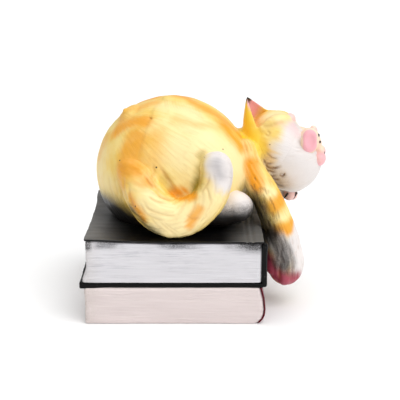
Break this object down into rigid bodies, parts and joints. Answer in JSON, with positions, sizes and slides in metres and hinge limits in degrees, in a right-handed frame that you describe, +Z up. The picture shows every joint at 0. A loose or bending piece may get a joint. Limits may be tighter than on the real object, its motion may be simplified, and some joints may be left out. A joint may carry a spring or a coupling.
{
  "type": "ceramic cat figurine",
  "caption": "Painted hollow ceramic figurine of a cat asleep on two stacked books, tail curled round its haunch, a foreleg hanging down the spines and a mouse on its muzzle.",
  "frame": {"origin": "centre of the flat underside of the books", "axes": "+Z up, +X from the books' fore-edge to their spine and the cat's head, +Y from the side with the tail to the far side"},
  "size_m": [0.2272, 0.1645, 0.1915],
  "materials": {
    "lower_pages_paint": "satin",
    "burgundy_cover_paint": "satin",
    "black_cover_paint": "satin",
    "upper_pages_paint": "satin",
    "cat_fur_paint": "satin",
    "cat_white_paint": "satin",
    "skin_pink_paint": "satin",
    "toe_red_paint": "satin",
    "mouse_paint": "satin",
    "bead_black_paint": "gloss"
  },
  "bodies": {
    "root": {"lower_book_pages": "lower_pages_paint", "lower_book_spine": "burgundy_cover_paint", "upper_book_bottom_board": "black_cover_paint", "upper_book_pages": "upper_pages_paint", "upper_book_spine": "black_cover_paint", "upper_book_top_board": "black_cover_paint", "cat_body": "cat_fur_paint", "tail": "cat_fur_paint", "neck": "cat_fur_paint", "head": "cat_fur_paint", "near_foreleg": "cat_fur_paint", "near_cheek": "cat_white_paint", "far_cheek": "cat_white_paint", "far_foreleg": "cat_fur_paint", "chin": "cat_white_paint", "near_hind_paw": "cat_white_paint", "far_hind_paw": "cat_white_paint", "near_ear": "cat_fur_paint", "far_ear": "cat_fur_paint", "near_eyelid": "skin_pink_paint", "far_eyelid": "skin_pink_paint", "nose": "skin_pink_paint", "near_toe_inner": "toe_red_paint", "near_toe_middle": "toe_red_paint", "near_toe_outer": "toe_red_paint", "far_toe_inner": "skin_pink_paint", "far_toe_outer": "skin_pink_paint", "mouse_body": "mouse_paint", "mouse_head": "mouse_paint", "mouse_snout": "skin_pink_paint", "mouse_near_ear": "skin_pink_paint", "mouse_far_ear": "skin_pink_paint", "mouse_near_eye": "bead_black_paint", "mouse_far_eye": "bead_black_paint"}
  },
  "joints": []
}
